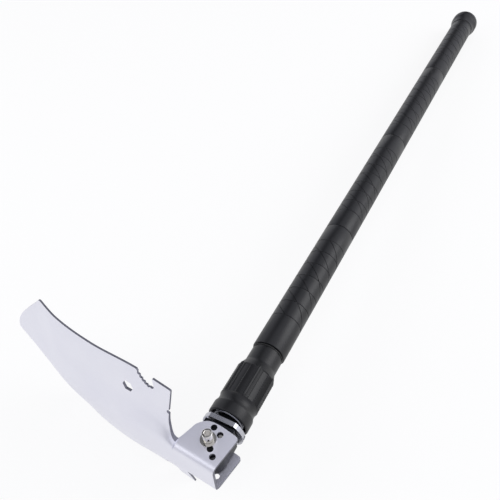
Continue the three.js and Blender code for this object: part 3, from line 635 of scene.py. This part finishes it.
class SHOVEL_OT_pivot(bpy.types.Operator):
    """Builds the socket bolt, its washers and the lock nut"""

    bl_idname = "shovel.pivot"
    bl_label = "Pivot"

    def execute(self, context):
        chosen = context.scene.shovel_pivot
        low, high = span("pivot_bolt")
        seat = high.z - chosen.head_height
        socket = hexagon(chosen.socket)
        rows = [
            (chosen.bolt - 0.5 * MM, low.z),
            (chosen.bolt, low.z + 0.5 * MM),
            (chosen.bolt, seat),
            (chosen.head - 0.2 * MM, seat),
            (chosen.head, seat + 0.2 * MM),
            *rounded_rim(chosen.head, high.z, 0.5 * MM, True),
            (lambda angle: socket(angle) + 0.25 * MM, high.z),
            (socket, high.z - 0.25 * MM),
            (socket, high.z - chosen.socket_depth),
        ]
        bolt = turned("socket_bolt", rows, 48, along_bolt=True)
        dress(bolt, "blade", "bolt_steel", ["pivot_bolt"], POLISHED_STAINLESS)
        washers = (("flange_washer", "bolt_washer", True), ("nut_side_washer", "nut_washer", False))
        for label, cad, up in washers:
            lower, upper = span(cad)
            rim = upper.x
            bore = chosen.bolt + 0.3 * MM
            near, far = (lower.z, upper.z) if up else (upper.z, lower.z)
            rows = [(bore, near), (rim, near), *rounded_rim(rim, far, 0.4 * MM, up), (bore, far)]
            washer = turned(label, rows, 48, closed=True, along_bolt=True)
            dress(washer, "blade", "bolt_steel", [cad], POLISHED_STAINLESS)
        lower, upper = span("lock_nut")
        reach = max(upper.x, upper.y)
        flats = hexagon(2 * reach * math.cos(TURN / 12))
        corner = reach - 0.4 * MM
        nut_rows = [
            (chosen.bolt + 0.3 * MM, upper.z),
            (flats, upper.z),
            (flats, lower.z + 1.4 * MM),
            (lambda angle: min(flats(angle), corner), lower.z + 0.9 * MM),
            (corner - 0.7 * MM, lower.z),
            (chosen.bolt + 0.3 * MM, lower.z),
        ]
        nut = turned("hex_lock_nut", nut_rows, 72, closed=True, along_bolt=True)
        dress(nut, "blade", "bolt_steel", ["lock_nut"], POLISHED_STAINLESS)
        return {"FINISHED"}


# ---- Lock collar ----
class SHOVEL_OT_collar(bpy.types.Operator):
    """Builds the knurled lock collar and its ribs"""

    bl_idname = "shovel.collar"
    bl_label = "Lock collar"

    def execute(self, context):
        chosen = context.scene.shovel_collar
        mouth, end = COLLAR_MOUTH, COLLAR_END
        bore, mouth_bore = 12.9 * MM, 16.6 * MM
        skirt, neck, sleeve = 18.7 * MM, 17.3 * MM, 14.9 * MM
        grip_start, grip_end = mouth + 20 * MM, mouth + 49.5 * MM
        columns = 108
        rows = [
            (bore, mouth + 9.3 * MM),
            (mouth_bore, mouth + 9.3 * MM),
            (mouth_bore, mouth + 0.6 * MM),
            rounded_rim(skirt - 1.2 * MM, mouth, 0.3 * MM, False)[-1],
            *reversed(rounded_rim(skirt, mouth, 1.1 * MM, False)),
            (skirt, mouth + 9.8 * MM),
            (skirt - 0.1 * MM, mouth + 10.3 * MM),
        ]
        waist = bezier(((skirt - 0.1 * MM, 10.4 * MM), (neck + 0.1 * MM, 12.6 * MM), (neck, 15 * MM)), 6)
        rows += [(p.x, mouth + p.y) for p in waist[1:]]
        swell = bezier(((neck, 16.2 * MM), (neck + 0.1 * MM, 18.4 * MM), (chosen.grip, 19.8 * MM)), 5)
        rows += [(p.x, mouth + p.y) for p in swell]
        knurl_rows = round((grip_end - grip_start) / (1.05 * MM))
        for k in range(knurl_rows + 1):
            place = grip_start + (grip_end - grip_start) * k / knurl_rows
            parity = k % 2

            def knurled(angle, parity=parity):
                sixth = TURN / chosen.ribs
                off = (angle + math.pi / 2 - chosen.rib_turn + sixth / 2) % sixth - sixth / 2
                if abs(off) * chosen.grip < chosen.rib_width / 2 + chosen.channel:
                    return chosen.grip - chosen.channel_depth
                tooth = (round(angle / TURN * columns) + parity) % 2
                return chosen.grip - chosen.knurl * tooth

            rows.append((knurled, place))
        rows += [
            (chosen.grip - 0.15 * MM, grip_end + 0.8 * MM),
            (sleeve + 0.7 * MM, mouth + 57.2 * MM),
            (sleeve + 0.15 * MM, mouth + 58.4 * MM),
            (sleeve, mouth + 59.5 * MM),
            (sleeve, end - 2 * MM),
            (sleeve - 0.9 * MM, end - 1.6 * MM),
            (sleeve - 1 * MM, end),
            (bore, end),
        ]
        collar = turned("knurled_lock_collar", rows, columns, closed=True, crease=24)
        dress(collar, "collar", "collar_black", ["lock_collar"], ANODISED_COLLAR)
        for k in range(chosen.ribs):
            angle = TURN * k / chosen.ribs - (math.pi / 2 - chosen.rib_turn)
            rib = self.rib(f"collar_rib_{k + 1}", angle, grip_start - 1.2 * MM, grip_end + 3 * MM, chosen)
            dress(rib, "collar", "collar_black", [], ANODISED_COLLAR)
        return {"FINISHED"}

    def rib(self, name, angle, low, high, chosen):
        """A bar with rounded ends and a crowned top that stands on the grip."""
        foot = chosen.grip - 1.1 * MM
        taper = 3 * MM
        loops = []
        for k in range(33):
            place = low + (high - low) * (1 - math.cos(math.pi * k / 32)) / 2
            inset = max(taper - (place - low), taper - (high - place), 0) / taper
            full = math.sqrt(max(1 - inset**2, 0.01))
            loop = []
            for i in range(17):
                turn = math.pi * i / 16
                across = chosen.rib_width / 2 * math.cos(turn) * (0.55 + 0.45 * full)
                over = foot + (chosen.rib - foot) * math.sin(turn) ** 0.6 * full
                loop.append((over, across))
            cos, sin = math.cos(angle), math.sin(angle)
            loops.append([(r * cos - t * sin, place, -r * sin - t * cos) for r, t in loop])
        return finished(name, *skin(loops))


# ---- Handle ----
class SHOVEL_OT_tubes(bpy.types.Operator):
    """Builds the four handle tubes with their turned rings and spiral grip grooves"""

    bl_idname = "shovel.tubes"
    bl_label = "Handle tubes"

    def execute(self, context):
        chosen = context.scene.shovel_tubes
        first_bands = {1: 36 * MM, 2: 27 * MM, 3: 27 * MM, 4: 27 * MM}
        last_bands = {1: 25.5 * MM, 2: 30 * MM, 3: 27 * MM, 4: 18 * MM}
        for number in (1, 2, 3, 4):
            start, end = TUBE_STARTS[number], TUBE_ENDS[number]
            grip_low, grip_high = start + first_bands[number], end - last_bands[number]
            tube = self.tube(number, start, end, grip_low, grip_high, chosen)
            body = "root" if number == 1 else f"tube_{number}"
            dress(tube, body, "tube_black", [f"tube_{number}"], ANODISED_TUBE)
        return {"FINISHED"}

    def columns(self, chosen):
        """Angle and share of the groove's depth of each column round the tube."""
        half = chosen.groove / TUBE_RADIUS / 2
        plain = 21
        made = []
        for k in range(chosen.starts):
            centre = TURN * k / chosen.starts
            across = ((-half, 0), (-half * 0.4, 1), (half * 0.4, 1), (half, 0))
            made += [(centre + side, cut) for side, cut in across]
            room = TURN / chosen.starts - 2 * half
            made += [(centre + half + room * i / plain, 0) for i in range(1, plain)]
        return made

    def tube(self, number, start, end, grip_low, grip_high, chosen):
        """The grip's columns follow its spirals, so each groove has clean edges."""
        columns = self.columns(chosen)
        quarters = max(1, round((grip_high - grip_low) / chosen.helix_lead * chosen.starts))
        twist = TURN * quarters / chosen.starts
        rings = max(1, round((grip_high - grip_low) / chosen.ring_pitch))
        half, depth = chosen.groove / 2, chosen.groove_depth
        rows = [(TUBE_RADIUS - 0.5 * MM, start, 0), (TUBE_RADIUS - 0.15 * MM, start + 0.2 * MM, 0)]
        rows += [(TUBE_RADIUS, start + 0.6 * MM, 0)]
        for k in range(rings + 1):
            place = grip_low + (grip_high - grip_low) * k / rings
            rows.append((TUBE_RADIUS, place - half, 1 if k else 0))
            rows += [(TUBE_RADIUS - depth, place + side * half * 0.4, 0) for side in (-1, 1)]
            rows.append((TUBE_RADIUS, place + half, 1 if k < rings else 0))
            if k < rings:
                gap = (grip_high - grip_low) / rings - 2 * half
                rows += [(TUBE_RADIUS, place + half + gap * i / 8, 1) for i in range(1, 8)]
        rows += [(TUBE_RADIUS, end - 0.6 * MM, 0), (TUBE_RADIUS - 0.15 * MM, end - 0.2 * MM, 0)]
        rows += [(TUBE_RADIUS - 0.5 * MM, end, 0)]
        bore = TUBE_RADIUS - chosen.wall
        inner = [(bore, end), (bore, start)]
        if number == 1:
            low = span("tube_1")[0].y
            stub = 12.6 * MM
            hollow = [(10.4 * MM, start + 1 * MM), (10.4 * MM, 70 * MM), (9.3 * MM, 70 * MM), (9.3 * MM, low)]
            inner = [(bore, end), (bore, start + 6 * MM), *hollow, (stub, low), (stub, start)]
        loops = []
        for radius, place, grooved in rows:
            share = min(max((place - grip_low) / (grip_high - grip_low), 0), 1)
            loop = []
            for angle, cut in columns:
                r = radius - (depth * cut if grooved else 0)
                turn = angle + twist * share
                loop.append((r * math.cos(turn), place, r * math.sin(turn)))
            loops.append(loop)
        for radius, place in inner:
            loops.append(
                [(radius * math.cos(a + twist), place, radius * math.sin(a + twist)) for a, _ in columns]
            )
        shift = quarters * (len(columns) // chosen.starts)
        return finished(f"handle_tube_{number}", *skin(loops, closed=True, shift=shift), crease=35)


class SHOVEL_OT_cap(bpy.types.Operator):
    """Builds the flared end cap with its stepped end"""

    bl_idname = "shovel.cap"
    bl_label = "End cap"

    def execute(self, context):
        start, end, rim = CAP_START, CAP_END, CAP_RADIUS
        plug = TUBE_RADIUS - context.scene.shovel_tubes.wall - 0.3 * MM
        plug_start = span("end_cap")[0].y
        inner = plug - 3 * MM
        flare = bezier(
            ((16.6 * MM, 1 * MM), (16.9 * MM, 7 * MM), (17.4 * MM, 10.5 * MM), (rim - 0.2 * MM, 14 * MM)), 8
        )
        rows = [
            (inner, plug_start),
            (plug - 0.8 * MM, plug_start),
            (plug, plug_start + 1 * MM),
            (plug, plug_start + 12.8 * MM),
            (plug - 1.6 * MM, plug_start + 12.8 * MM),
            (plug - 1.6 * MM, plug_start + 15.2 * MM),
            (plug, plug_start + 15.2 * MM),
            (plug, start),
            (15.7 * MM, start),
            *[(p.x, start + p.y) for p in flare],
            (rim, start + 15.2 * MM),
            (rim, start + 17.4 * MM),
            (rim - 0.5 * MM, start + 17.8 * MM),
            (rim - 0.5 * MM, start + 18.6 * MM),
            (rim, start + 19 * MM),
            *rounded_rim(rim, end - 3 * MM, 2.4 * MM, True),
            (rim - 3.2 * MM, end - 3 * MM),
            *[(rim - 1.0 * MM + r, y) for r, y in [(-2.4 * MM, end - 1.6 * MM), (-6.5 * MM, end - 1 * MM)]],
            (rim - 7.8 * MM, end - 1.5 * MM),
            (rim - 8.2 * MM, end - 0.6 * MM),
            (rim - 12 * MM, end),
            (0.3 * MM, end),
            (0.3 * MM, end - 8 * MM),
            (inner, end - 8 * MM),
        ]
        cap = turned("stepped_end_cap", rows, 96, closed=True)
        dress(cap, "cap", "cap_black", ["end_cap"], ANODISED_TUBE)
        return {"FINISHED"}


class SHOVEL_OT_finishes(bpy.types.Operator):
    """Gives the carried CAD pieces their materials"""

    bl_idname = "shovel.finishes"
    bl_label = "Finishes"

    def execute(self, context):
        for name, material in CARRIED.items():
            mesh = frame["nodes"][name].data
            mesh.materials.clear()
            mesh.materials.append(material)
        return {"FINISHED"}


# ---- Stage ----
def seen(tree, glossy=True):
    """1 where the camera looks straight at the surface, or sees it in metal or through glass."""
    path = node(tree, "ShaderNodeLightPath")
    most = path.outputs["Is Camera Ray"]
    names = ("Is Glossy Ray", "Is Transmission Ray") if glossy else ("Is Transmission Ray",)
    for name in names:
        most = node(
            tree, "ShaderNodeMath", {0: most, 1: path.outputs[name]}, operation="MAXIMUM"
        ).outputs["Value"]
    return most


class SHOVEL_OT_stage(bpy.types.Operator):
    """Sets the pale floor, the soft studio light and the camera"""

    bl_idname = "shovel.stage"
    bl_label = "Stage"

    def execute(self, context):
        scene = context.scene
        low, high = CAD_BOX
        self.floor(low.z)
        self.world(scene)
        centre = (low + high) / 2
        self.softbox("key_light", centre + Vector((1.3, 0.6, 0.75)), centre, 1.1, 9)
        self.softbox("fill_light", centre + Vector((-0.9, -0.9, 1.1)), centre, 1.2, 6)
        self.camera(scene, centre, scene.shovel_stage)
        scene.view_settings.view_transform = "Standard"
        return {"FINISHED"}

    def floor(self, height):
        corners = [(-4, -4), (4, -4), (4, 4), (-4, 4)]
        mesh = bpy.data.meshes.new("floor")
        mesh.from_pydata([(x, y, height - 0.2 * MM) for x, y in corners], [], [(0, 1, 2, 3)])
        plane = new_object("floor", mesh)
        material = bpy.data.materials.new("white_sweep_paper")
        material.use_nodes = True
        tree = material.node_tree
        tree.nodes.clear()
        paper = node(tree, "ShaderNodeBsdfDiffuse", {"Color": linear("fafafa")})
        glow = node(tree, "ShaderNodeEmission", {"Color": linear("ffffff"), "Strength": 1.0})
        share = node(tree, "ShaderNodeMath", {0: seen(tree), 1: 0.85}, operation="MULTIPLY")
        mixed = node(
            tree,
            "ShaderNodeMixShader",
            {0: share.outputs["Value"], 1: paper.outputs["BSDF"], 2: glow.outputs["Emission"]},
        )
        node(tree, "ShaderNodeOutputMaterial", {"Surface": mixed.outputs["Shader"]})
        mesh.materials.append(material)

    def world(self, scene):
        """A white room with one dark flag overhead, along the handle, that shapes the round pieces."""
        world = bpy.data.worlds.new("soft_white_room")
        scene.world = world
        world.use_nodes = True
        tree = world.node_tree
        tree.nodes.clear()
        direction = node(tree, "ShaderNodeTexCoord").outputs["Generated"]
        flag = Vector((math.cos(math.radians(28)), 0, math.sin(math.radians(28))))
        off = node(tree, "ShaderNodeVectorMath", {0: direction, 1: flag}, operation="DOT_PRODUCT")
        size = node(tree, "ShaderNodeMath", {0: off.outputs["Value"]}, operation="ABSOLUTE")
        level = node(
            tree,
            "ShaderNodeMapRange",
            {
                "Value": size.outputs["Value"],
                "From Min": 0.04,
                "From Max": 0.36,
                "To Min": 0.04,
                "To Max": 0.95,
            },
            interpolation_type="SMOOTHSTEP",
        )
        room = node(
            tree,
            "ShaderNodeBackground",
            {"Color": linear("f4f5ff"), "Strength": level.outputs["Result"]},
        )
        backdrop = node(tree, "ShaderNodeBackground", {"Color": linear("ffffff"), "Strength": 1.0})
        mixed = node(
            tree,
            "ShaderNodeMixShader",
            {0: seen(tree, glossy=False), 1: room.outputs["Background"], 2: backdrop.outputs["Background"]},
        )
        node(tree, "ShaderNodeOutputWorld", {"Surface": mixed.outputs["Shader"]})

    def softbox(self, name, place, target, size, power):
        data = bpy.data.lights.new(name, "AREA")
        data.shape = "SQUARE"
        data.size = size
        data.energy = power
        lamp = bpy.data.objects.new(name, data)
        bpy.context.scene.collection.objects.link(lamp)
        lamp.location = place
        lamp.rotation_euler = (target - place).to_track_quat("-Z", "Y").to_euler()

    def camera(self, scene, centre, chosen):
        data = bpy.data.cameras.new("camera")
        data.lens = chosen.lens
        data.sensor_width = 36
        data.clip_start = 0.01
        camera = bpy.data.objects.new("camera", data)
        scene.collection.objects.link(camera)
        flat = math.cos(chosen.elevation)
        back = Vector(
            (math.sin(chosen.azimuth) * flat, -math.cos(chosen.azimuth) * flat, math.sin(chosen.elevation))
        )
        camera.location = centre + Vector(chosen.aim) + back * chosen.distance
        tilt = Matrix.Rotation(math.pi / 2 - chosen.elevation, 4, "X")
        level = Matrix.Rotation(chosen.azimuth, 4, "Z") @ tilt
        camera.rotation_euler = (level @ Matrix.Rotation(chosen.roll, 4, "Z")).to_euler()
        scene.camera = camera


class SHOVEL_PT_panel(bpy.types.Panel):
    """Lists the shovel's pieces"""

    bl_label = "Camp Shovel"
    bl_idname = "SHOVEL_PT_panel"
    bl_space_type = "VIEW_3D"
    bl_region_type = "UI"
    bl_category = "Shovel"

    def draw(self, context):
        groups = (
            ("shovel_blade", "shovel.blade"),
            ("shovel_pivot", "shovel.pivot"),
            ("shovel_collar", "shovel.collar"),
            ("shovel_tubes", "shovel.tubes"),
            (None, "shovel.cap"),
            (None, "shovel.finishes"),
            ("shovel_stage", "shovel.stage"),
        )
        for group, operator in groups:
            box = self.layout.box()
            box.operator(operator)
            if group:
                settings = getattr(context.scene, group)
                for name in settings.__annotations__:
                    box.prop(settings, name)


SETTINGS = {
    "shovel_blade": BladeSettings,
    "shovel_pivot": PivotSettings,
    "shovel_collar": CollarSettings,
    "shovel_tubes": TubeSettings,
    "shovel_stage": StageSettings,
}
OPERATORS = (
    SHOVEL_OT_blade,
    SHOVEL_OT_pivot,
    SHOVEL_OT_collar,
    SHOVEL_OT_tubes,
    SHOVEL_OT_cap,
    SHOVEL_OT_finishes,
    SHOVEL_OT_stage,
)


def register():
    for made in (*SETTINGS.values(), *OPERATORS, SHOVEL_PT_panel):
        bpy.utils.register_class(made)
    for name, group in SETTINGS.items():
        setattr(bpy.types.Scene, name, PointerProperty(type=group))


def unregister():
    for name in SETTINGS:
        delattr(bpy.types.Scene, name)
    for made in reversed((*SETTINGS.values(), *OPERATORS, SHOVEL_PT_panel)):
        bpy.utils.unregister_class(made)


def main():
    register()
    bpy.ops.shovel.blade()
    bpy.ops.shovel.pivot()
    bpy.ops.shovel.collar()
    bpy.ops.shovel.tubes()
    bpy.ops.shovel.cap()
    bpy.ops.shovel.finishes()
    bpy.ops.shovel.stage()


if __name__ == "__main__":
    main()
